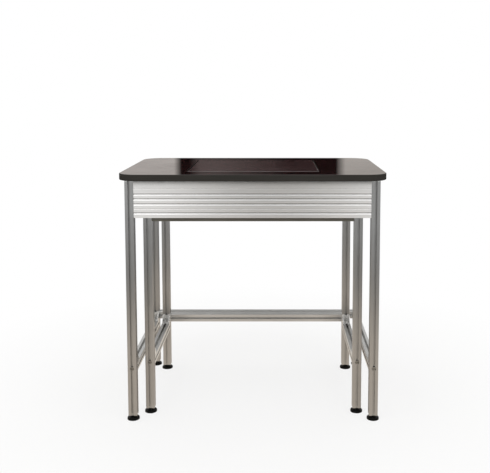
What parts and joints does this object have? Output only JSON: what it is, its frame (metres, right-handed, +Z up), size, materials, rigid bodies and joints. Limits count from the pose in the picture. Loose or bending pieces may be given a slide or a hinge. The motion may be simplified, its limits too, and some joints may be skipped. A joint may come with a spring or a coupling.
{
  "type": "weighing balance table",
  "caption": "Free-standing laboratory weighing table: a worktop frame stands clear around an inner frame that carries a polished stone slab for a balance, all on levelling feet.",
  "frame": {"origin": "on the floor, under the middle of the worktop", "axes": "+Z up, +X to the right along the table's width seen from the front, front towards -Y"},
  "size_m": [0.9, 0.6, 0.845],
  "materials": {
    "profile_aluminium": "natural anodised, satin, extruded with slots",
    "apron_aluminium": "bright anodised, satin, fine extrusion lines",
    "worktop_laminate": "polished dark solid laminate",
    "slab_granite": "polished dark granite with fine grain",
    "isolator_rubber": "matt black",
    "foot_plastic": "moulded black",
    "stud_steel": "zinc plated",
    "fastener_steel": "zinc plated",
    "bracket_casting": "die cast, tumbled"
  },
  "bodies": {
    "inner_frame": {"bearer_bracket_screws": "fastener_steel", "bearer_brackets": "bracket_casting", "inner_leg_back_left": "profile_aluminium", "inner_leg_back_right": "profile_aluminium", "inner_leg_front_left": "profile_aluminium", "inner_leg_front_right": "profile_aluminium", "inner_rail_anchors": "fastener_steel", "inner_rail_back": "profile_aluminium", "inner_rail_front": "profile_aluminium", "inner_rail_left": "profile_aluminium", "inner_rail_right": "profile_aluminium", "inner_slot_nuts": "fastener_steel", "inner_stretcher_back": "profile_aluminium", "inner_stretcher_bracket_screws": "fastener_steel", "inner_stretcher_brackets": "bracket_casting", "inner_stretcher_end_screws": "fastener_steel", "inner_stretcher_left": "profile_aluminium", "inner_stretcher_right": "profile_aluminium", "slab_bearer_left": "profile_aluminium", "slab_bearer_right": "profile_aluminium", "slab_isolators": "isolator_rubber"},
    "outer_table": {"apron_back": "apron_aluminium", "apron_front": "apron_aluminium", "apron_left": "apron_aluminium", "apron_right": "apron_aluminium", "outer_leg_back_left": "profile_aluminium", "outer_leg_back_right": "profile_aluminium", "outer_leg_front_left": "profile_aluminium", "outer_leg_front_right": "profile_aluminium", "outer_rail_anchors": "fastener_steel", "outer_slot_nuts": "fastener_steel", "outer_stretcher_back": "profile_aluminium", "outer_stretcher_bracket_screws": "fastener_steel", "outer_stretcher_brackets": "bracket_casting", "outer_stretcher_end_screws": "fastener_steel", "outer_stretcher_left": "profile_aluminium", "outer_stretcher_right": "profile_aluminium", "worktop": "worktop_laminate", "worktop_bracket_screws": "fastener_steel", "worktop_brackets": "bracket_casting"},
    "slab": {"slab": "slab_granite"},
    "outer_foot_front_left": {"outer_foot_pad_front_left": "foot_plastic"},
    "outer_stud_front_left": {"outer_foot_stud_front_left": "stud_steel"},
    "outer_foot_front_right": {"outer_foot_pad_front_right": "foot_plastic"},
    "outer_stud_front_right": {"outer_foot_stud_front_right": "stud_steel"},
    "outer_foot_back_left": {"outer_foot_pad_back_left": "foot_plastic"},
    "outer_stud_back_left": {"outer_foot_stud_back_left": "stud_steel"},
    "outer_foot_back_right": {"outer_foot_pad_back_right": "foot_plastic"},
    "outer_stud_back_right": {"outer_foot_stud_back_right": "stud_steel"},
    "inner_foot_front_left": {"inner_foot_pad_front_left": "foot_plastic"},
    "inner_stud_front_left": {"inner_foot_stud_front_left": "stud_steel"},
    "inner_foot_front_right": {"inner_foot_pad_front_right": "foot_plastic"},
    "inner_stud_front_right": {"inner_foot_stud_front_right": "stud_steel"},
    "inner_foot_back_left": {"inner_foot_pad_back_left": "foot_plastic"},
    "inner_stud_back_left": {"inner_foot_stud_back_left": "stud_steel"},
    "inner_foot_back_right": {"inner_foot_pad_back_right": "foot_plastic"},
    "inner_stud_back_right": {"inner_foot_stud_back_right": "stud_steel"}
  },
  "joints": [
    {"name": "slab_lift", "type": "slide", "parent": "inner_frame", "child": "slab", "axis": [0, 0, 1], "range_m": [0, 0.1]},
    {"name": "outer_table_lift", "type": "slide", "parent": "inner_frame", "child": "outer_table", "axis": [0, 0, 1], "range_m": [0, 0.1]},
    {"name": "outer_foot_front_left_travel", "type": "slide", "parent": "outer_table", "child": "outer_foot_front_left", "axis": [0, 0, -1], "range_m": [0, 0.02]},
    {"name": "outer_stud_front_left_turn", "type": "hinge", "parent": "outer_foot_front_left", "child": "outer_stud_front_left", "pos_m": [-0.41, -0.265, 0.0066], "axis": [0, 0, -1], "range_deg": [0, 5760]},
    {"name": "outer_foot_front_right_travel", "type": "slide", "parent": "outer_table", "child": "outer_foot_front_right", "axis": [0, 0, -1], "range_m": [0, 0.02]},
    {"name": "outer_stud_front_right_turn", "type": "hinge", "parent": "outer_foot_front_right", "child": "outer_stud_front_right", "pos_m": [0.41, -0.265, 0.0066], "axis": [0, 0, -1], "range_deg": [0, 5760]},
    {"name": "outer_foot_back_left_travel", "type": "slide", "parent": "outer_table", "child": "outer_foot_back_left", "axis": [0, 0, -1], "range_m": [0, 0.02]},
    {"name": "outer_stud_back_left_turn", "type": "hinge", "parent": "outer_foot_back_left", "child": "outer_stud_back_left", "pos_m": [-0.41, 0.245, 0.0066], "axis": [0, 0, -1], "range_deg": [0, 5760]},
    {"name": "outer_foot_back_right_travel", "type": "slide", "parent": "outer_table", "child": "outer_foot_back_right", "axis": [0, 0, -1], "range_m": [0, 0.02]},
    {"name": "outer_stud_back_right_turn", "type": "hinge", "parent": "outer_foot_back_right", "child": "outer_stud_back_right", "pos_m": [0.41, 0.245, 0.0066], "axis": [0, 0, -1], "range_deg": [0, 5760]},
    {"name": "inner_foot_front_left_travel", "type": "slide", "parent": "inner_frame", "child": "inner_foot_front_left", "axis": [0, 0, -1], "range_m": [0, 0.02]},
    {"name": "inner_stud_front_left_turn", "type": "hinge", "parent": "inner_foot_front_left", "child": "inner_stud_front_left", "pos_m": [-0.36, -0.205, 0.0066], "axis": [0, 0, -1], "range_deg": [0, 5760]},
    {"name": "inner_foot_front_right_travel", "type": "slide", "parent": "inner_frame", "child": "inner_foot_front_right", "axis": [0, 0, -1], "range_m": [0, 0.02]},
    {"name": "inner_stud_front_right_turn", "type": "hinge", "parent": "inner_foot_front_right", "child": "inner_stud_front_right", "pos_m": [0.36, -0.205, 0.0066], "axis": [0, 0, -1], "range_deg": [0, 5760]},
    {"name": "inner_foot_back_left_travel", "type": "slide", "parent": "inner_frame", "child": "inner_foot_back_left", "axis": [0, 0, -1], "range_m": [0, 0.02]},
    {"name": "inner_stud_back_left_turn", "type": "hinge", "parent": "inner_foot_back_left", "child": "inner_stud_back_left", "pos_m": [-0.36, 0.205, 0.0066], "axis": [0, 0, -1], "range_deg": [0, 5760]},
    {"name": "inner_foot_back_right_travel", "type": "slide", "parent": "inner_frame", "child": "inner_foot_back_right", "axis": [0, 0, -1], "range_m": [0, 0.02]},
    {"name": "inner_stud_back_right_turn", "type": "hinge", "parent": "inner_foot_back_right", "child": "inner_stud_back_right", "pos_m": [0.36, 0.205, 0.0066], "axis": [0, 0, -1], "range_deg": [0, 5760]}
  ],
  "couplings": [
    {"joint": "outer_foot_front_left_travel", "follows": "outer_stud_front_left_turn", "m_per_rad": 0.00019894},
    {"joint": "outer_foot_front_right_travel", "follows": "outer_stud_front_right_turn", "m_per_rad": 0.00019894},
    {"joint": "outer_foot_back_left_travel", "follows": "outer_stud_back_left_turn", "m_per_rad": 0.00019894},
    {"joint": "outer_foot_back_right_travel", "follows": "outer_stud_back_right_turn", "m_per_rad": 0.00019894},
    {"joint": "inner_foot_front_left_travel", "follows": "inner_stud_front_left_turn", "m_per_rad": 0.00019894},
    {"joint": "inner_foot_front_right_travel", "follows": "inner_stud_front_right_turn", "m_per_rad": 0.00019894},
    {"joint": "inner_foot_back_left_travel", "follows": "inner_stud_back_left_turn", "m_per_rad": 0.00019894},
    {"joint": "inner_foot_back_right_travel", "follows": "inner_stud_back_right_turn", "m_per_rad": 0.00019894}
  ]
}
